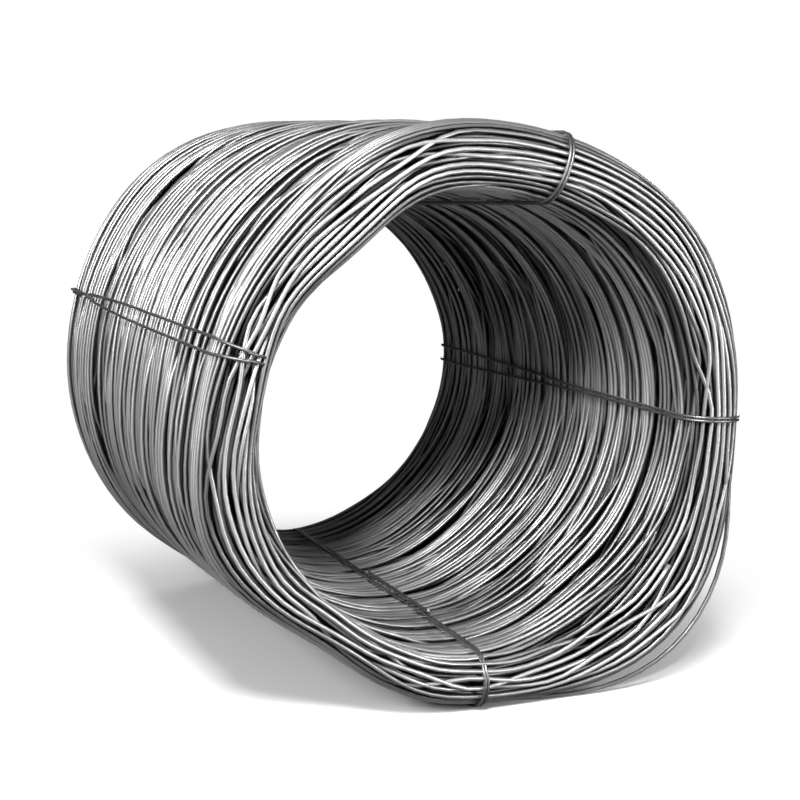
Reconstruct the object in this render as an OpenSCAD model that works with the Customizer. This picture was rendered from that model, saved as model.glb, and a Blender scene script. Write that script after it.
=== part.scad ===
// Coil of wire rod
// Hot-rolled steel rod laid in loose rings into a thick ring-shaped bundle that lies on its side.
// Four double-strand tie wires go through the eye and round the outside, and hold the turns together.
// The coil's axis runs along Y, the floor is Z = 0, and the end at -Y is called the near end.

/* [Coil] */
// Outside diameter over the outermost turns
coil_od = 1268; // [900:1:1500]
// Thickness of the bundle, from its outside in to its eye
coil_wall = 147; // [60:1:250]
// Length along the axis over the end turns
coil_len = 1320; // [700:1:1800]
// Rounding of the bundle's end corners, over the turns
end_round = 66; // [20:1:100]

/* [Rod] */
// Diameter of the rolled rod
rod_d = 10; // [5.5:0.5:16]
// Open gap between neighbouring turns of the bundle's skin
turn_gap = 6; // [1:0.1:10]
// How far the slackest turn sinks below the bundle's skin
turn_slack = 8; // [0:0.1:10]
// Number that picks how slack and how rolled each turn is
slack_seed = 7; // [1:1:50]

/* [Ties] */
// Diameter of the tie wire
tie_d = 6.5; // [4:0.1:9]
// Clearance between a tie and the turns under it
tie_clear = 0.4; // [0.3:0.1:1]
// Gap between the two strands of a tie where they lie side by side
strand_gap = 0.8; // [0.6:0.1:3]
// Place of the top tie round the eye, clockwise from straight up as seen from the near end
top_angle = 18; // [0:1:40]
// Place of the right tie
right_angle = 93; // [60:1:120]
// Place of the left tie
left_angle = 287; // [240:1:300]
// Distance between the two strands on the outside of the top, right and left ties
outer_spread = 34; // [10:1:80]
// Distance between the two strands in the eye
eye_spread = 40; // [10:1:80]
// Distance between the two strands that the coil lies on
rest_spread = 44; // [20:1:90]

/* [Knots] */
// Length of the twist that closes a tie
twist_len = 96; // [60:1:160]
// Full turns in the twist
twist_turns = 2; // [1:1:4]
// Length of the cut ends past the twist
tail_len = 28; // [10:1:50]
// How far a cut end bends up from the twist
tail_lift = 6; // [2:0.5:15]
// Length over which a strand rises into the twist
rise_len = 40; // [25:1:80]
// Length over which the strands open from the knot to their full spread
open_len = 90; // [40:1:150]
// Distance of the left tie's knot from the far end
left_knot_in = 270; // [240:1:600]

/* [Hidden] */
$fn = 96;
wire_sides = 8;
side_turn = 360 / wire_sides;
corner_steps = 9;
open_steps = 5;
rise_steps = 5;
tail_steps = 3;
steps_per_twist = 9;
min_rim = 4;
steel_grey = [0.62, 0.63, 0.64];
tie_grey = [0.36, 0.36, 0.37];

coil_r = coil_od / 2;
eye_r = coil_r - coil_wall;
corner_r = min(end_round, (coil_wall - min_rim) / 2);
half_run = coil_len / 2 - corner_r;
turn_pitch = rod_d + turn_gap;
tie_seat = tie_clear + tie_d / 2;
strand_pitch = tie_d + strand_gap;
wire_corner_r = tie_d / 2 / cos(180 / wire_sides);
twist_lift = strand_pitch / 2 + 2 * wire_corner_r + strand_gap;
knot_half = twist_len / 2 + rise_len;
rest_turn = rest_spread / 2 / (coil_r + tie_seat) * 180 / PI;
axis_h = (coil_r + tie_clear + tie_d) * cos(rest_turn)
    + tie_d / 2 * tan(180 / wire_sides) * sin(rest_turn);

// Centres of the rounded corners of the bundle's section, [radius, length], from mid-outside round the near end
knees = [
    [coil_r - corner_r, 0],
    [coil_r - corner_r, -half_run],
    [eye_r + corner_r, -half_run],
    [eye_r + corner_r, half_run],
    [coil_r - corner_r, half_run],
    [coil_r - corner_r, 0]
];

// Quarter circle of a corner, at a height above the skin
function corner_arc(height) = PI / 2 * (corner_r + height);

// Way round the whole section at a height above the skin
function skin_length(height) =
    4 * half_run + 2 * (knees[1].x - knees[2].x) + 4 * corner_arc(height);

// Knee and facing angle at a distance s round the section: 0 faces out, 90 the near end, 180 the eye
function skin(s, height, k = 0) =
    let (run = norm(knees[k + 1] - knees[k]), arc = corner_arc(height))
    s <= run || k == 4
        ? [knees[k] + (knees[k + 1] - knees[k]) * (run > 0 ? min(s / run, 1) : 0), 90 * k]
        : s <= run + arc
            ? [knees[k + 1], 90 * k + 90 * (s - run) / arc]
            : skin(s - run - arc, height, k + 1);

// Distance round the section at which corner k starts, at the height of a seated tie
function corner_start(k) =
    k == 0
        ? half_run
        : corner_start(k - 1) + corner_arc(tie_seat) + norm(knees[k + 1] - knees[k]);

function wrap(s, length) = s - length * floor(s / length);
function ease(u) = let (v = max(0, min(1, u))) v * v * (3 - 2 * v);

// Outline of the bundle's section: the outer half of an eight-sided rod for each turn of its skin,
// each sunk by its own slack and rolled by chance about its own centre line
rod_inset = -rod_d / 2;
turn_count = round(skin_length(rod_inset) / turn_pitch);
slacks = rands(0, turn_slack, turn_count, slack_seed);
rolls = rands(-side_turn / 2, side_turn / 2, turn_count, slack_seed + 1);
turn_outline = [
    for (i = [0:turn_count - 1])
        let (
            at = skin(i * skin_length(rod_inset) / turn_count, rod_inset),
            reach = corner_r + rod_inset - slacks[i],
            centre = at[0] + reach * [cos(at[1]), -sin(at[1])]
        )
        for (corner = [-1.5:1:1.5])
            let (lean = at[1] + corner * side_turn + rolls[i])
            centre + rod_d / 2 * [cos(lean), -sin(lean)]
];

// The bundle of turns is one turned ring: the turns show on its ends, its outside and in its eye.
module coil() {
    color(steel_grey)
        translate([0, 0, axis_h])
        rotate([-90, 0, 0])
        rotate_extrude()
        polygon(turn_outline);
}

tie_way = skin_length(tie_seat);

// Place on the bundle: s round the section, x sideways, h above the seat, at an angle round the axis
function on_coil(s, x, h, angle) =
    let (
        at = skin(wrap(s, tie_way), tie_seat),
        reach = corner_r + tie_seat + h,
        r = at[0].x + reach * cos(at[1]),
        turn = angle + x / r * 180 / PI
    )
    [r * sin(turn), at[0].y - reach * sin(at[1]), axis_h + r * cos(turn)];

function facing(s, x, angle) =
    let (
        at = skin(wrap(s, tie_way), tie_seat),
        turn = angle + x / (at[0].x + corner_r * cos(at[1])) * 180 / PI
    )
    [cos(at[1]) * sin(turn), -sin(at[1]), cos(at[1]) * cos(turn)];

// Half the distance between the strands: side by side over the rims and at the knot, spread elsewhere
function half_spread(s, knot_s, outer) =
    let (
        facing_angle = skin(wrap(s, tie_way), tie_seat)[1],
        wide = cos(facing_angle) > 0 ? outer : eye_spread,
        flat_share = pow(cos(facing_angle), 2),
        from_knot = min(wrap(s - knot_s, tie_way), wrap(knot_s - s, tie_way)),
        open = ease((from_knot - knot_half) / open_len)
    )
    (strand_pitch + (wide - strand_pitch) * flat_share * open) / 2;

// Distances from the knot at which a strand's way round the section is drawn
function way_stations(knot_s, first_corner) = [
    for (i = [0:open_steps]) knot_half + open_len * i / open_steps,
    for (j = [0:3])
        for (i = [0:corner_steps])
            wrap(corner_start((first_corner + j) % 4) - knot_s, tie_way)
                + corner_arc(tie_seat) * i / corner_steps,
    for (i = [open_steps:-1:0]) tie_way - knot_half - open_len * i / open_steps
];

// Way of one tie wire as [s, x, h]: cut end, twist, twice round the bundle, twist, cut end
function tie_line(knot_s, first_corner, outer) =
    let (
        half = twist_len / 2,
        ring = strand_pitch / 2,
        twist_steps = twist_turns * steps_per_twist,
        stations = way_stations(knot_s, first_corner)
    )
    [
        for (side = [-1, 1])
            let (
                tail = [
                    for (i = [tail_steps:-1:1])
                        let (u = i / tail_steps)
                        [knot_s + side * (half + tail_len * u), side * (ring + tail_lift * u),
                            twist_lift + tail_lift * u * u]
                ],
                twist = [
                    for (i = [0:twist_steps])
                        let (turn = 360 * twist_turns * i / twist_steps)
                        [knot_s + side * half * (1 - 2 * i / twist_steps), side * ring * cos(turn),
                            twist_lift - ring * sin(turn)]
                ],
                rise = [
                    for (i = [1:rise_steps - 1])
                        let (u = i / rise_steps)
                        [knot_s - side * (half + rise_len * u), side * ring, twist_lift * (1 - ease(u))]
                ],
                loop = [
                    for (d = stations)
                        let (s = knot_s + d)
                        [s, -half_spread(s, knot_s, outer), 0]
                ],
                back_loop = [
                    for (d = stations)
                        let (s = knot_s + d)
                        [s, half_spread(s, knot_s, outer), 0]
                ]
            )
            each side < 0
                ? concat(tail, twist, rise, loop)
                : concat(back_loop, [for (i = [len(rise) - 1:-1:0]) rise[i]],
                    [for (i = [twist_steps:-1:0]) twist[i]], [for (i = [tail_steps - 1:-1:0]) tail[i]])
    ];

// Round wire drawn along a line of [s, x, h] places on the bundle
module wire(line, angle) {
    count = len(line);
    points = [for (p = line) on_coil(p[0], p[1], p[2], angle)];
    rings = [
        for (i = [0:count - 1])
            let (
                way = points[min(i + 1, count - 1)] - points[max(i - 1, 0)],
                ahead = way / norm(way),
                out = facing(line[i][0], line[i][1], angle),
                side_way = cross(ahead, out),
                side = side_way / norm(side_way),
                up = cross(side, ahead)
            )
            for (j = [0:wire_sides - 1])
                let (turn = 360 * (j + 0.5) / wire_sides)
                points[i] + wire_corner_r * (cos(turn) * up + sin(turn) * side)
    ];
    walls = [
        for (i = [0:count - 2])
            for (j = [0:wire_sides - 1])
                let (
                    a = i * wire_sides + j,
                    b = i * wire_sides + (j + 1) % wire_sides
                )
                each [[a, b, a + wire_sides], [b, b + wire_sides, a + wire_sides]]
    ];
    caps = [
        [for (j = [wire_sides - 1:-1:0]) j],
        [for (j = [0:wire_sides - 1]) (count - 1) * wire_sides + j]
    ];
    polyhedron(points = rings, faces = concat(walls, caps));
}

module tie(angle, knot_s, first_corner, outer) {
    color(tie_grey)
        wire(tie_line(knot_s, first_corner, outer), angle);
}

outside_middle = 0;
eye_middle = corner_start(1) + corner_arc(tie_seat) + half_run;

module tie_top() {
    tie(top_angle, outside_middle, 0, outer_spread);
}

module tie_right() {
    tie(right_angle, outside_middle, 0, outer_spread);
}

// The bottom tie's knot is in the eye, so the coil lies on two plain strands.
module tie_bottom() {
    tie(180, eye_middle, 2, rest_spread);
}

module tie_left() {
    tie(left_angle, tie_way - (coil_len / 2 - left_knot_in), 0, outer_spread);
}

coil();
tie_top();
tie_right();
tie_bottom();
tie_left();
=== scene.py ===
import math

import bpy
import numpy as np
from mathutils import Matrix, Vector


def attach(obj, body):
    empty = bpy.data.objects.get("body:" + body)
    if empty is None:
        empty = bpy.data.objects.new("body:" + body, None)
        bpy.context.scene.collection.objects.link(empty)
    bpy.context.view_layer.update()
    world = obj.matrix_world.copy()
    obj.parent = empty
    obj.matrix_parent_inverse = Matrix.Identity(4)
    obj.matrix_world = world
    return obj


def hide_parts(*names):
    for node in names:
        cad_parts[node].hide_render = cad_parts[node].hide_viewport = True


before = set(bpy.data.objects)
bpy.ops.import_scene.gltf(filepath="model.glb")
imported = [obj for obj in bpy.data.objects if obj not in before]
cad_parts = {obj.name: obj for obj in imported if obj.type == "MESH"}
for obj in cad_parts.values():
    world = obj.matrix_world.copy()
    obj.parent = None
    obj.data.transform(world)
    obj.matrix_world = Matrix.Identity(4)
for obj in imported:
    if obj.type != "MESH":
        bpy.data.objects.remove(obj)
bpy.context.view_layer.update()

# The coil is one hot-rolled steel rod, 10 mm thick, dropped ring on ring by a turning laying head.
# Each ring lies off centre, and the off-centre side wanders round from ring to ring. The heap is
# then pressed together lengthwise and tied, and it springs out again between the four ties.
rod_thick = 0.010
axis_height = 0.640565
outside_r = 0.634
eye_r = 0.487
half_length = 0.660
near_end = -half_length
far_end = half_length
end_round = 0.066
rings = 550
steps = 96
first_angle = 128.0
top_tie_angle = 18.0
right_tie_angle = 93.0
bottom_tie_angle = 180.0
left_tie_angle = 287.0
tie_angles = [top_tie_angle, right_tie_angle, bottom_tie_angle, left_tie_angle]
chance = np.random.default_rng(23)

# How each face of the heap departs from a true ring: how much it grows all round, and how far it
# leans up and to the right. A hump lies between two ties, and its bias moves its crest clockwise.
leans = {
    "outside_near": (-0.010, -0.008, 0.022),
    "outside_far": (0.005, 0.005, -0.018),
    "eye_near": (0.007, -0.018, 0.005),
    "eye_far": (0.003, -0.040, -0.026),
}
humps = [
    ("outside_near", "top to right", 0.015, 0.000),
    ("outside_near", "right to bottom", 0.080, 0.000),
    ("outside_near", "bottom to left", 0.005, 0.060),
    ("outside_near", "left to top", 0.010, 0.010),
    ("outside_far", "top to right", 0.010, 0.000),
    ("outside_far", "bottom to left", 0.015, -0.010),
    ("outside_far", "left to top", 0.020, -0.005),
    ("eye_near", "right to bottom", -0.015, -0.010),
    ("eye_near", "bottom to left", -0.005, 0.000),
    ("eye_near", "left to top", -0.020, 0.030),
    ("eye_far", "top to right", -0.005, 0.000),
    ("eye_far", "right to bottom", -0.015, 0.000),
    ("eye_far", "bottom to left", -0.030, 0.000),
    ("eye_far", "left to top", 0.000, -0.010),
]
gaps = {
    "top to right": (top_tie_angle, right_tie_angle),
    "right to bottom": (right_tie_angle, bottom_tie_angle),
    "bottom to left": (bottom_tie_angle, left_tie_angle),
    "left to top": (left_tie_angle, top_tie_angle + 360),
}


def swell(face, degrees):
    """How far a face stands out from its true place at an angle, clockwise from the top."""
    degrees = np.mod(np.asarray(degrees, float) - top_tie_angle, 360) + top_tie_angle
    grow, rise, right = leans[face]
    total = grow + rise * np.cos(np.radians(degrees)) + right * np.sin(np.radians(degrees))
    for humped, gap, height, bias in humps:
        if humped == face:
            start, stop = gaps[gap]
            off_middle = (2 * degrees - start - stop) / (stop - start)
            hump = np.where(np.abs(off_middle) < 1, np.cos(np.pi * off_middle / 2) ** 2, 0)
            total = total + hump * (height + bias * np.sin(np.pi * off_middle))
    return total


def section_at(degrees):
    """Outer and eye radius at the near and at the far end, at an angle."""
    return (
        outside_r + swell("outside_near", degrees),
        outside_r + swell("outside_far", degrees),
        eye_r + swell("eye_near", degrees),
        eye_r + swell("eye_far", degrees),
    )


def wander(count, every):
    """A smooth wandering value between about -1 and 1, with a new aim every so many steps."""
    aims = chance.uniform(-1, 1, count // every + 3)
    line = np.interp(np.arange(count + every) / every, np.arange(len(aims)), aims)
    window = np.hanning(every + 2)[1:-1]
    return np.convolve(line, window / window.sum(), "same")[every // 2:every // 2 + count]


count = rings * steps
step_angle = first_angle + 360.0 / steps * np.arange(count)
ring_at = np.arange(count) / steps
rings_to_end = np.minimum(ring_at, rings - ring_at)
outside_near, outside_far, eye_near, eye_far = section_at(step_angle)

# Rings lie closer together towards the two ends, where they are wound in flat rows, side by side.
# The rings between them slip a little along the axis.
end_crowding = 3.2
crowded_length = 0.022
flat_rings = 22.0
long_slip = 0.038
short_slip = 0.014
lengthwise = np.linspace(-1, 1, 2001)
crowding = 1 + end_crowding * np.exp(-(1 - np.abs(lengthwise)) * half_length / crowded_length)
laid = np.cumsum(crowding)
laid = (laid - laid[0]) / (laid[-1] - laid[0])
along = np.interp(np.linspace(0, 1, count), laid, lengthwise)
wound_flat = np.exp(-(rings_to_end / flat_rings) ** 2)
slip = long_slip * wander(count, every=150) + short_slip * wander(count, every=60)
along = along + (1 - wound_flat) * slip
along = np.clip(along, -1, 1)

# Between the ends a ring lies off centre by most of the wall's thickness, and the next ring a little
# further round. In the flat rows the rod works its way from the eye to the outside and back.
turn_per_ring = 33.0
turn_wander = 60.0
off_centre = 0.74
off_centre_wander = 0.14
stray = 0.26
rings_per_row = 15.0
row_start = 0.4
row_stray = 0.20
skin_pull = 3
off_side = turn_per_ring * ring_at + turn_wander * wander(count, every=200)
off_much = off_centre + off_centre_wander * wander(count, every=260)
thrown = stray * wander(count, every=120) + off_much * np.cos(np.radians(step_angle - off_side))
row = 1 - 2 * np.abs(1 - np.mod(rings_to_end / rings_per_row + row_start, 2))
in_row = row + row_stray * wander(count, every=90)
across = np.clip(thrown * (1 - wound_flat) + in_row * wound_flat, -1, 1)
to_skin = np.tanh(skin_pull * across) * (1 - wound_flat)

# Some turns sink under the skin of the heap. A tie pulls the turns under it up against itself, but
# less so near the ends.
deepest_sunk = 0.028
sunk_middle = 0.5
sunk_wander = 0.75
tie_hold = 0.65
tie_hold_angle = 13.0
end_rings = 110.0
from_each = [np.abs(np.mod(step_angle - tied + 180, 360) - 180) for tied in tie_angles]
from_tie = np.min(from_each, axis=0)
held = np.exp(-(from_tie / tie_hold_angle) ** 2) * (1 - np.exp(-(rings_to_end / end_rings) ** 2))
sinks = np.clip(sunk_middle + sunk_wander * wander(count, every=110), 0, 1)
sunk = deepest_sunk * sinks * (1 - wound_flat) * (1 - tie_hold * held)

# Where the rod is first laid: its distance from the axis and its place along it, under domed ends.
dome_length = 0.10
share = (along + 1) / 2
outer = outside_near + (outside_far - outside_near) * share - rod_thick / 2
eye = eye_near + (eye_far - eye_near) * share + rod_thick / 2
rod_r = (outer + eye) / 2 + across * (outer - eye) / 2
rod_y = near_end + (far_end - near_end) * share
over = np.clip(np.abs(rod_r - (outer + eye) / 2) - (outer - eye) / 2 + end_round, 0, end_round)
dome = end_round - np.sqrt(end_round ** 2 - over ** 2)
rod_y = rod_y + dome * (
    np.exp((near_end - rod_y) / dome_length) - np.exp((rod_y - far_end) / dome_length))


def keep_inside(r, y):
    """Moves rod centres that stand out of the heap's section back to its rounded edge."""
    share = (y - near_end) / (far_end - near_end)
    outer = outside_near + (outside_far - outside_near) * share - rod_thick / 2 - sunk
    eye = eye_near + (eye_far - eye_near) * share + rod_thick / 2 + sunk
    y = np.clip(y, near_end + rod_thick / 2, far_end - rod_thick / 2)
    r = np.clip(r, eye, outer)
    bend = end_round - rod_thick / 2
    mid_y = np.clip(y, near_end + end_round, far_end - end_round)
    mid_r = np.clip(r, eye + bend, outer - bend)
    far = np.hypot(r - mid_r, y - mid_y)
    pull = np.where(far > bend, bend / np.maximum(far, 1e-9), 1.0)
    return mid_r + (r - mid_r) * pull, mid_y + (y - mid_y) * pull


# The heap settles: turns that cut into each other are pushed apart, again and again. Each push is
# spread along the rod, because the rod is stiff. At first the turns also spring out towards the
# skin, and the rings at the ends keep more room than the others.
settle_rounds = 140
spring_rounds = 100
spring_push = 0.0006
push_more = 1.4
neighbours = 24
close_room = 1.02
end_room = 0.48
end_room_length = 0.024
stiff_steps = 9
stiffness = np.hanning(stiff_steps) / np.hanning(stiff_steps).sum()
rod_r, rod_y = keep_inside(rod_r, rod_y)
for settling in range(settle_rounds):
    ring_r = rod_r.reshape(rings, steps)
    ring_y = rod_y.reshape(rings, steps)
    order = np.argsort(ring_y, axis=0)
    sorted_r = np.take_along_axis(ring_r, order, 0)
    sorted_y = np.take_along_axis(ring_y, order, 0)
    push_r = np.zeros_like(sorted_r)
    push_y = np.zeros_like(sorted_y)
    from_end = half_length - np.abs(sorted_y)
    room = rod_thick * (close_room + end_room * np.exp(-(from_end / end_room_length) ** 2))
    for lag in range(1, neighbours):
        apart_r = sorted_r[lag:] - sorted_r[:-lag]
        apart_y = sorted_y[lag:] - sorted_y[:-lag]
        apart = np.maximum(np.hypot(apart_r, apart_y), 1e-6)
        lap = np.clip(room[lag:] - apart, 0, None) / apart * 0.5
        push_r[lag:] += apart_r * lap
        push_r[:-lag] -= apart_r * lap
        push_y[lag:] += apart_y * lap
        push_y[:-lag] -= apart_y * lap
    moved = np.zeros((2, rings, steps))
    np.put_along_axis(moved[0], order, push_r, 0)
    np.put_along_axis(moved[1], order, push_y, 0)
    moved = moved.reshape(2, count)
    for axis in range(2):
        moved[axis] = np.convolve(moved[axis], stiffness, "same")
    spring = spring_push * to_skin if settling < spring_rounds else 0.0
    rod_r, rod_y = keep_inside(rod_r + moved[0] * push_more + spring, rod_y + moved[1] * push_more)

# The rod is too stiff for short kinks. One ring near the near end hangs loose between the right and
# the bottom tie, clear of the others.
straight_steps = 7
straighten = np.hanning(straight_steps) / np.hanning(straight_steps).sum()
rod_r = np.convolve(np.pad(rod_r, straight_steps // 2, "edge"), straighten, "valid")
rod_y = np.convolve(np.pad(rod_y, straight_steps // 2, "edge"), straighten, "valid")
loose_ring = 8
loose_lead = 30
loose_arc = 78
loose_by = 0.006
loose_from_end = 2 * rod_thick
loose = np.clip((step_angle - first_angle - 360 * loose_ring + loose_lead) / loose_arc, 0, 1)
rod_r = rod_r + (outside_near + loose_by - rod_r) * np.sin(np.pi * loose)
rod_y = rod_y + (near_end + loose_from_end - rod_y) * np.sin(np.pi * loose)

# How deep each length of rod lies under the heap's skin. A painted shade darkens it with depth, from 0
# at 7 mm to 1 at 31 mm.
unshaded_depth = rod_thick * 0.7
painted_shade_ramp = 0.024
share = (rod_y - near_end) / (far_end - near_end)
under_outside = outside_near + (outside_far - outside_near) * share - rod_r
under_eye = rod_r - eye_near - (eye_far - eye_near) * share
ways_out = [under_outside, under_eye, rod_y - near_end, far_end - rod_y]
under = np.min(ways_out, axis=0)
depth_painted_shade = np.clip((under - unshaded_depth) / painted_shade_ramp, 0, 1)

# Painted shade also darkens the flanks of a rod, where they face the grooves between turns, so they
# are darker than its crest. The crest faces the nearest side of the heap: its outside, its eye or one
# of its ends.
rod_sides = 7
skin_reach = 0.012
groove_painted_shade = 0.8
crest_width = 0.77
nearness = [np.exp(-way_out / skin_reach) for way_out in ways_out]
crest_out = nearness[0] - nearness[1]
crest_far = nearness[3] - nearness[2]
crest = np.maximum(np.hypot(crest_out, crest_far), 1e-12)
flank = 2 * np.pi * np.arange(rod_sides) / rod_sides
facing = (crest_out / crest)[:, None] * np.cos(flank) - (crest_far / crest)[:, None] * np.sin(flank)
rod_painted_shade = np.clip(depth_painted_shade[:, None] + groove_painted_shade * np.clip(crest_width - facing, 0, 1), 0, 1)


def tube(name, way, outward, radius, sides, painted_shade):
    """A round bar along a line of points, with flat ends. Its painted shade is kept for the material.
    """
    ahead = np.gradient(way, axis=0)
    ahead /= np.linalg.norm(ahead, axis=1)[:, None]
    first = outward - (outward * ahead).sum(1)[:, None] * ahead
    first /= np.linalg.norm(first, axis=1)[:, None]
    second = np.cross(ahead, first)
    turn = 2 * np.pi * np.arange(sides) / sides
    ring = first[:, None] * np.cos(turn)[None, :, None] + second[:, None] * np.sin(turn)[None, :, None]
    points = (way[:, None] + radius * ring).reshape(-1, 3)
    here = (np.arange(len(way) - 1) * sides)[:, None] + np.arange(sides)[None]
    beside = (np.arange(len(way) - 1) * sides)[:, None] + (np.arange(sides)[None] + 1) % sides
    walls = np.stack([here, beside, beside + sides, here + sides], -1).reshape(-1, 4)
    caps = [list(range(sides))[::-1], list(range(len(points) - sides, len(points)))]
    mesh = bpy.data.meshes.new(name)
    mesh.from_pydata(points.tolist(), [], walls.tolist() + caps)
    mesh.polygons.foreach_set("use_smooth", [True] * len(walls) + [False, False])
    mesh.update()
    mesh.attributes.new("painted_shade", "FLOAT", "POINT").data.foreach_set("value", np.ravel(painted_shade))
    piece = bpy.data.objects.new(name, mesh)
    bpy.context.scene.collection.objects.link(piece)
    return piece


def link(tree, socket_out, socket_in):
    tree.links.new(socket_out, socket_in)


def maths(tree, operation, *values):
    """The result of a math node. Each value is a plain number or the output of another node."""
    node = tree.nodes.new("ShaderNodeMath")
    node.operation = operation
    for socket, value in zip(node.inputs, values):
        if isinstance(value, float):
            socket.default_value = value
        else:
            link(tree, value, socket)
    return node.outputs[0]


def mill_finish_group():
    """Scale and handling marks on rolled steel: a tone, a fine streak and a height, all 0 to 1."""
    group = bpy.data.node_groups.new("mill_finish", "ShaderNodeTree")
    group.interface.new_socket("Place", in_out="INPUT", socket_type="NodeSocketVector")
    group.interface.new_socket("Tone", in_out="OUTPUT", socket_type="NodeSocketFloat")
    group.interface.new_socket("Streak", in_out="OUTPUT", socket_type="NodeSocketFloat")
    group.interface.new_socket("Height", in_out="OUTPUT", socket_type="NodeSocketFloat")
    place = group.nodes.new("NodeGroupInput")
    out = group.nodes.new("NodeGroupOutput")
    patch = group.nodes.new("ShaderNodeTexNoise")
    patch.inputs["Scale"].default_value = 28.0
    patch.inputs["Detail"].default_value = 4.0
    patch.inputs["Roughness"].default_value = 0.6
    streak = group.nodes.new("ShaderNodeTexNoise")
    streak.inputs["Scale"].default_value = 260.0
    streak.inputs["Detail"].default_value = 3.0
    pit = group.nodes.new("ShaderNodeTexNoise")
    pit.inputs["Scale"].default_value = 700.0
    pit.inputs["Detail"].default_value = 2.0
    for noise, name in ((patch, "Tone"), (streak, "Streak"), (pit, "Height")):
        link(group, place.outputs["Place"], noise.inputs["Vector"])
        spread = group.nodes.new("ShaderNodeMapRange")
        spread.inputs["From Min"].default_value = 0.30
        spread.inputs["From Max"].default_value = 0.70
        link(group, noise.outputs["Fac"], spread.inputs["Value"])
        link(group, spread.outputs["Result"], out.inputs[name])
    return group


mill_finish = mill_finish_group()


def steel(name, dark, light, rough_low, rough_high, bump):
    """A bare rolled steel whose tone and shine wander along the bar, darkened by a painted shade from
    the mesh.
    """
    patch_part = 0.65
    streak_part = 0.35
    # The colour of the painted shade, in the rod's grooves and under its skin.
    painted_shade_colour = (0.035, 0.035, 0.036)
    pit_depth = 0.0004
    finish = bpy.data.materials.new(name)
    finish.use_nodes = True
    tree = finish.node_tree
    shader = tree.nodes["Principled BSDF"]
    shader.inputs["Metallic"].default_value = 0.80
    marks = tree.nodes.new("ShaderNodeGroup")
    marks.node_tree = mill_finish
    streak = maths(tree, "MULTIPLY", marks.outputs["Streak"], streak_part)
    tone = maths(tree, "MULTIPLY_ADD", marks.outputs["Tone"], patch_part, streak)
    colour = tree.nodes.new("ShaderNodeMix")
    colour.data_type = "RGBA"
    colour.inputs["A"].default_value = (*dark, 1)
    colour.inputs["B"].default_value = (*light, 1)
    link(tree, tone, colour.inputs["Factor"])
    # Painted shade: the mesh attribute darkens the base colour towards the painted shade colour.
    painted_shade_node = tree.nodes.new("ShaderNodeAttribute")
    painted_shade_node.attribute_name = "painted_shade"
    painted_shade = tree.nodes.new("ShaderNodeMix")
    painted_shade.data_type = "RGBA"
    painted_shade.inputs["B"].default_value = (*painted_shade_colour, 1)
    link(tree, painted_shade_node.outputs["Fac"], painted_shade.inputs["Factor"])
    link(tree, colour.outputs["Result"], painted_shade.inputs["A"])
    link(tree, painted_shade.outputs["Result"], shader.inputs["Base Color"])
    rough = tree.nodes.new("ShaderNodeMapRange")
    rough.inputs["To Min"].default_value = rough_high
    rough.inputs["To Max"].default_value = rough_low
    link(tree, marks.outputs["Streak"], rough.inputs["Value"])
    link(tree, rough.outputs["Result"], shader.inputs["Roughness"])
    relief = tree.nodes.new("ShaderNodeBump")
    relief.inputs["Strength"].default_value = bump
    relief.inputs["Distance"].default_value = pit_depth
    link(tree, marks.outputs["Height"], relief.inputs["Height"])
    link(tree, relief.outputs["Normal"], shader.inputs["Normal"])
    return finish, tree, marks


# The mill marks run along the rod, so they are placed by the distance from the coil's axis, the
# place along the axis and, much stretched, the way round it.
mark_stretch = 0.06
rod_steel, tree, marks = steel(
    "rod_steel", dark=(0.34, 0.34, 0.345), light=(0.72, 0.72, 0.725),
    rough_low=0.34, rough_high=0.50, bump=0.25)
where = tree.nodes.new("ShaderNodeTexCoord")
split = tree.nodes.new("ShaderNodeSeparateXYZ")
link(tree, where.outputs["Object"], split.inputs[0])
sideways = split.outputs["X"]
rise = maths(tree, "SUBTRACT", split.outputs["Z"], axis_height)
way_round = maths(tree, "ARCTAN2", sideways, rise)
stretched = maths(tree, "MULTIPLY", way_round, mark_stretch)
squared = maths(tree, "MULTIPLY", sideways, sideways)
both_squared = maths(tree, "MULTIPLY_ADD", rise, rise, squared)
from_axis = maths(tree, "SQRT", both_squared)
along_rod = tree.nodes.new("ShaderNodeCombineXYZ")
link(tree, from_axis, along_rod.inputs["X"])
link(tree, split.outputs["Y"], along_rod.inputs["Y"])
link(tree, stretched, along_rod.inputs["Z"])
link(tree, along_rod.outputs[0], marks.inputs["Place"])

# The rod's line is cut into five lengths, one mesh each.
lengths = 5
around = np.radians(step_angle)
out_line = np.stack([np.sin(around), np.zeros(count), np.cos(around)], 1)
axis_line = np.stack([np.zeros(count), rod_y, np.full(count, axis_height)], 1)
rod_line = out_line * rod_r[:, None] + axis_line
for part in range(lengths):
    start = count * part // lengths
    stop = min(count * (part + 1) // lengths + 1, count)
    piece = tube(f"coil_turns_{part + 1}", rod_line[start:stop], out_line[start:stop], rod_thick / 2,
                 rod_sides, rod_painted_shade[start:stop])
    piece.data.materials.append(rod_steel)
    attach(piece, "root")
    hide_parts("coil")

# The ties are soft drawn wire, 6.5 mm thick. Each is one wire passed twice through the eye and round
# the heap, pulled tight over the rounded ends, and its two tails are twisted together into a knot.
tie_thick = 0.0065
tie_clear = 0.0004
tie_lift = tie_thick / 2 + tie_clear
tie_sides = 8
knot_lift = tie_lift + tie_thick * 1.7
twist_clear = 0.0003
tail_length = 0.028
tail_rise = 0.4
ease_length = 0.060
swap_length = 0.16
wire_step = 0.006
look_ahead = 0.004
gap_steps = 21
waver = 0.0012


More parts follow.
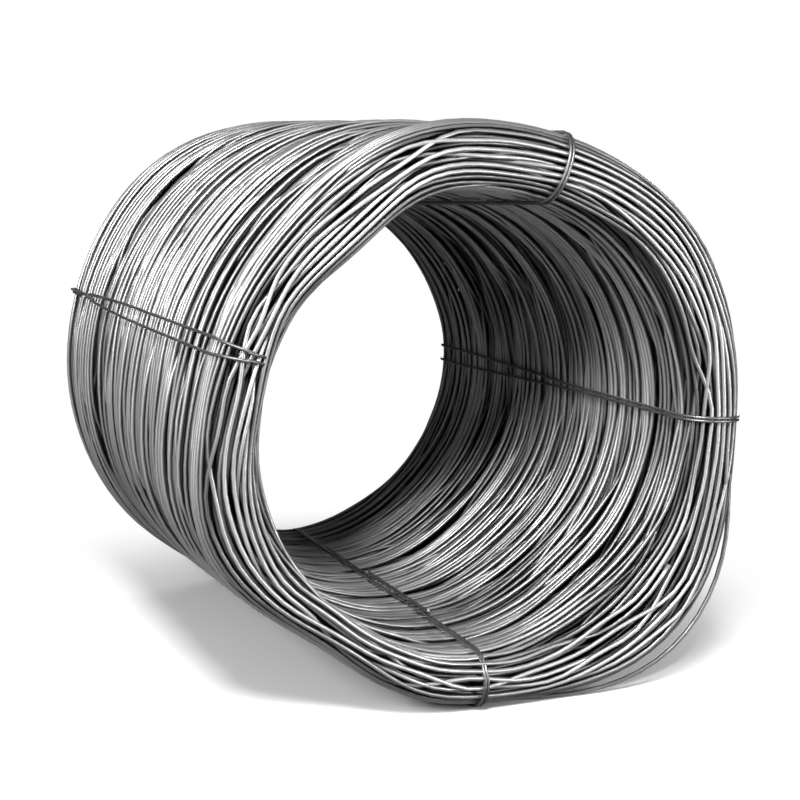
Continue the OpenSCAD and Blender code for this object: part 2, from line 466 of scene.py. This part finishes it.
def section_loop(degrees):
    """Closed line round the heap at one angle: outside near to far, far end, eye, near end."""
    out_near, out_far, in_near, in_far = (float(size) for size in section_at(degrees))
    bend = end_round
    near_y = near_end + bend
    far_y = far_end - bend

    def edge(r_near, r_far, place):
        return r_near + (r_far - r_near) * (place - near_end) / (far_end - near_end)

    corner = np.radians(np.linspace(0, 90, 13))
    straight = np.linspace(near_y, far_y, 81)
    corner_out_far = edge(out_near, out_far, far_y)
    corner_in_far = edge(in_near, in_far, far_y)
    corner_in_near = edge(in_near, in_far, near_y)
    corner_out_near = edge(out_near, out_far, near_y)
    lines = [
        np.stack([edge(out_near, out_far, straight), straight], 1),
        np.stack([corner_out_far - bend + bend * np.cos(corner), far_y + bend * np.sin(corner)], 1),
        np.stack([corner_in_far + bend - bend * np.sin(corner), far_y + bend * np.cos(corner)], 1),
        np.stack([edge(in_near, in_far, straight[::-1]), straight[::-1]], 1),
        np.stack([corner_in_near + bend - bend * np.cos(corner), near_y - bend * np.sin(corner)], 1),
        np.stack([corner_out_near - bend + bend * np.sin(corner), near_y - bend * np.cos(corner)], 1),
    ]
    loop = np.concatenate(lines)
    keep = np.r_[True, np.linalg.norm(np.diff(loop, axis=0), axis=1) > 1e-4]
    return loop[keep]


def smooth_step(value):
    value = np.clip(value, 0, 1)
    return value * value * (3 - 2 * value)


def tie(name, degrees, knot_inside, knot_y, twist_length, twists, outside_gap, eye_gap):
    """One tie. The gaps between its two strands are given as rows of place and width."""
    loop = section_loop(degrees)
    closed = np.concatenate([loop, loop[:1]])
    mark = np.r_[0, np.cumsum(np.linalg.norm(np.diff(closed, axis=0), axis=1))]
    whole = mark[-1]
    middle_r = (loop[:, 0].max() + loop[:, 0].min()) / 2
    inside = loop[:, 0] < middle_r
    knot_side = inside if knot_inside else ~inside
    knot_at = mark[:-1][knot_side][np.argmin(np.abs(loop[knot_side, 1] - knot_y))]

    half_twist = twist_length / 2
    reach = half_twist + tail_length
    run = np.arange(-reach, 2 * whole + reach, wire_step)
    at = np.mod(run + knot_at, whole)
    before = np.mod(at - look_ahead, whole)
    after = np.mod(at + look_ahead, whole)
    radial = np.interp(at, mark, closed[:, 0])
    place = np.interp(at, mark, closed[:, 1])
    ahead_r = np.interp(after, mark, closed[:, 0]) - np.interp(before, mark, closed[:, 0])
    ahead_y = np.interp(after, mark, closed[:, 1]) - np.interp(before, mark, closed[:, 1])
    size = np.hypot(ahead_r, ahead_y)
    normal_r = ahead_y / size
    normal_y = -ahead_r / size

    gap_out = np.interp(place, *np.array(outside_gap).T)
    gap_eye = np.interp(place, *np.array(eye_gap).T)
    half_gap = np.where(radial > middle_r, gap_out, gap_eye) / 2
    padded = np.pad(half_gap, gap_steps // 2, "edge")
    half_gap = np.convolve(padded, np.ones(gap_steps) / gap_steps, "valid")
    half_gap = np.maximum(half_gap, tie_thick / 2 + tie_clear)

    swap = 1 - 2 * smooth_step((run - whole) / swap_length + 0.5)
    side = half_gap * swap + waver * wander(len(run), every=40)
    lift = np.full(len(run), tie_lift)
    wind = tie_thick / 2 + twist_clear
    for turn_start, half_turn in ((0.0, 0.0), (2 * whole, math.pi)):
        off = run - turn_start
        in_knot = 1 - smooth_step((np.abs(off) - half_twist) / ease_length)
        tail = (off < -half_twist) if half_turn == 0 else (off > half_twist)
        in_knot = np.where(tail, 1.0, in_knot)
        phase = 2 * math.pi * twists * off / twist_length + half_turn
        tail_up = np.where(tail, np.clip(np.abs(off) - half_twist, 0, None) * tail_rise, 0)
        side = side * (1 - in_knot) + in_knot * wind * np.cos(phase)
        lift = lift * (1 - in_knot) + in_knot * (knot_lift + wind * np.sin(phase) + tail_up)

    turned = math.radians(degrees) + side / radial
    radial = radial + normal_r * lift
    place = place + normal_y * lift
    way = np.stack([radial * np.sin(turned), place, axis_height + radial * np.cos(turned)], 1)
    out = np.stack([normal_r * np.sin(turned), normal_y, normal_r * np.cos(turned)], 1)
    piece = tube(name, way, out, tie_thick / 2, tie_sides, np.zeros((len(way), tie_sides)))
    piece.data.materials.append(tie_steel)
    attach(piece, "root")
    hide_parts(name)


tie_steel, tree, marks = steel(
    "tie_steel", dark=(0.09, 0.09, 0.092), light=(0.27, 0.27, 0.275),
    rough_low=0.32, rough_high=0.48, bump=0.3)
where = tree.nodes.new("ShaderNodeTexCoord")
link(tree, where.outputs["Object"], marks.inputs["Place"])

tie("tie_top", top_tie_angle, knot_inside=False, knot_y=0.0, twist_length=0.096, twists=2,
    outside_gap=[(-0.62, 0.0075), (-0.3, 0.020), (0.3, 0.020), (0.62, 0.0075)],
    eye_gap=[(-0.62, 0.0075), (0.0, 0.0075), (0.5, 0.034), (0.62, 0.034)])
tie("tie_right", right_tie_angle, knot_inside=False, knot_y=0.0, twist_length=0.096, twists=2,
    outside_gap=[(-0.62, 0.0075), (-0.3, 0.024), (0.3, 0.024), (0.62, 0.034)],
    eye_gap=[(-0.62, 0.0075), (-0.18, 0.0075), (0.45, 0.043), (0.62, 0.043)])
tie("tie_bottom", bottom_tie_angle, knot_inside=True, knot_y=-0.16, twist_length=0.340, twists=6,
    outside_gap=[(-0.62, 0.0075), (-0.5, 0.044), (0.5, 0.044), (0.62, 0.0075)],
    eye_gap=[(-0.62, 0.0075), (-0.45, 0.014), (-0.25, 0.012), (0.3, 0.010), (0.62, 0.0075)])
tie("tie_left", left_tie_angle, knot_inside=False, knot_y=0.46, twist_length=0.096, twists=2,
    outside_gap=[(-0.62, 0.033), (-0.20, 0.034), (0.10, 0.030), (0.62, 0.0075)],
    eye_gap=[(-0.62, 0.013), (0.0, 0.030), (0.62, 0.0075)])

# The floor is a plain pale studio floor that runs out of the picture. It keeps the coil's shadow close
# by and turns to pure white farther out. To all but the camera it is a dull grey floor.
floor_reach = 30
shadow_full = 0.55
shadow_gone = 1.35
floor_corners = [
    (-floor_reach, -floor_reach, 0),
    (floor_reach, -floor_reach, 0),
    (floor_reach, floor_reach, 0),
    (-floor_reach, floor_reach, 0),
]
floor_mesh = bpy.data.meshes.new("floor")
floor_mesh.from_pydata(floor_corners, [], [(0, 1, 2, 3)])
floor = bpy.data.objects.new("floor", floor_mesh)
bpy.context.scene.collection.objects.link(floor)
floor_paint = bpy.data.materials.new("floor_paint")
floor_paint.use_nodes = True
tree = floor_paint.node_tree
paint = tree.nodes["Principled BSDF"]
paint.inputs["Base Color"].default_value = (0.92, 0.92, 0.92, 1)
paint.inputs["Roughness"].default_value = 0.9
white = tree.nodes.new("ShaderNodeEmission")
white.inputs["Color"].default_value = (1, 1, 1, 1)
white.inputs["Strength"].default_value = 1.0
grey = tree.nodes.new("ShaderNodeBsdfDiffuse")
grey.inputs["Color"].default_value = (0.16, 0.16, 0.16, 1)
spot = tree.nodes.new("ShaderNodeTexCoord")
from_coil = tree.nodes.new("ShaderNodeVectorMath")
from_coil.operation = "LENGTH"
link(tree, spot.outputs["Object"], from_coil.inputs[0])
fade = tree.nodes.new("ShaderNodeMapRange")
fade.interpolation_type = "SMOOTHSTEP"
fade.inputs["From Min"].default_value = shadow_full
fade.inputs["From Max"].default_value = shadow_gone
link(tree, from_coil.outputs["Value"], fade.inputs["Value"])
seen_floor = tree.nodes.new("ShaderNodeMixShader")
link(tree, fade.outputs["Result"], seen_floor.inputs["Fac"])
link(tree, paint.outputs[0], seen_floor.inputs[1])
link(tree, white.outputs[0], seen_floor.inputs[2])
looks = tree.nodes.new("ShaderNodeLightPath")
shown_floor = tree.nodes.new("ShaderNodeMixShader")
link(tree, looks.outputs["Is Camera Ray"], shown_floor.inputs["Fac"])
link(tree, grey.outputs[0], shown_floor.inputs[1])
link(tree, seen_floor.outputs[0], shown_floor.inputs[2])
link(tree, shown_floor.outputs[0], tree.nodes["Material Output"].inputs["Surface"])
floor.data.materials.append(floor_paint)

# The room is dim, with a soft glow from the upper left, and shows as plain white in the picture. A
# broad lamp stands at the left, one hangs high in front, and weak ones stand low at the right and
# behind.
glow_from = (-0.78, -0.30, 0.55)
room_dim = 0.015
room_glow = 0.20
room = bpy.data.worlds.new("room")
bpy.context.scene.world = room
room.use_nodes = True
tree = room.node_tree
soft = tree.nodes["Background"]
soft.inputs["Strength"].default_value = 1.0
sky = tree.nodes.new("ShaderNodeTexCoord")
toward = tree.nodes.new("ShaderNodeVectorMath")
toward.operation = "DOT_PRODUCT"
toward.inputs[1].default_value = glow_from
link(tree, sky.outputs["Generated"], toward.inputs[0])
glow = tree.nodes.new("ShaderNodeMapRange")
glow.interpolation_type = "SMOOTHSTEP"
glow.inputs["From Min"].default_value = 0.15
glow.inputs["From Max"].default_value = 0.95
glow.inputs["To Min"].default_value = room_dim
glow.inputs["To Max"].default_value = room_glow
link(tree, toward.outputs["Value"], glow.inputs["Value"])
link(tree, glow.outputs["Result"], soft.inputs["Color"])
seen = tree.nodes.new("ShaderNodeBackground")
seen.inputs["Color"].default_value = (1, 1, 1, 1)
seen.inputs["Strength"].default_value = 1.0
rays = tree.nodes.new("ShaderNodeLightPath")
shown_room = tree.nodes.new("ShaderNodeMixShader")
link(tree, rays.outputs["Is Camera Ray"], shown_room.inputs["Fac"])
link(tree, soft.outputs[0], shown_room.inputs[1])
link(tree, seen.outputs[0], shown_room.inputs[2])
link(tree, shown_room.outputs[0], tree.nodes["World Output"].inputs["Surface"])


def lamp(name, place, aim, size, watts):
    """A round soft lamp, turned towards a point."""
    light = bpy.data.lights.new(name, "AREA")
    light.shape = "DISK"
    light.size = size
    light.energy = watts
    holder = bpy.data.objects.new(name, light)
    holder.location = place
    holder.rotation_mode = "QUATERNION"
    holder.rotation_quaternion = (Vector(aim) - Vector(place)).to_track_quat("-Z", "Y")
    bpy.context.scene.collection.objects.link(holder)


lamp("lamp_main", place=(-4.0, -2.4, 2.8), aim=(0, 0, 0.6), size=1.6, watts=215)
lamp("lamp_front", place=(-1.5, -3.5, 4.0), aim=(0, 0, 0.5), size=1.2, watts=370)
lamp("lamp_side", place=(2.8, -4.0, 1.0), aim=(0, 0, 0.6), size=1.5, watts=125)
lamp("lamp_back", place=(3.4, 3.6, 1.3), aim=(0, 0, 0.6), size=1.8, watts=110)

# The camera stands where the photograph was taken from, as fitted to the ring's outline: a little to
# the left of the axis and a little above it. Its lens and shift are given in the photograph's pixels.
photo_side_pixels = 800
lens_pixels = 1465.44
shift_right_pixels = 26.722
shift_up_pixels = -14.51
film_width = 36
camera_turn = math.radians(-21.733)
camera_tilt = math.radians(8.512)
camera_lean = math.radians(0.187)
camera_aim_height = 0.624556
camera_away = 3.658997
camera_data = bpy.data.cameras.new("camera")
camera = bpy.data.objects.new("camera", camera_data)
bpy.context.scene.collection.objects.link(camera)
bpy.context.scene.camera = camera
back = Vector((
    math.sin(camera_turn) * math.cos(camera_tilt),
    -math.cos(camera_turn) * math.cos(camera_tilt),
    math.sin(camera_tilt),
))
level = Vector((math.cos(camera_turn), math.sin(camera_turn), 0))
upright = back.cross(level)
right = level * math.cos(camera_lean) + upright * math.sin(camera_lean)
up = upright * math.cos(camera_lean) - level * math.sin(camera_lean)
stand = Vector((0, 0, camera_aim_height)) + back * camera_away
camera.matrix_world = Matrix.Translation(stand) @ Matrix((right, up, back)).transposed().to_4x4()
camera_data.sensor_width = film_width
camera_data.lens = lens_pixels / photo_side_pixels * film_width
camera_data.shift_x = shift_right_pixels / photo_side_pixels
camera_data.shift_y = shift_up_pixels / photo_side_pixels

bpy.context.scene.view_settings.view_transform = "Standard"
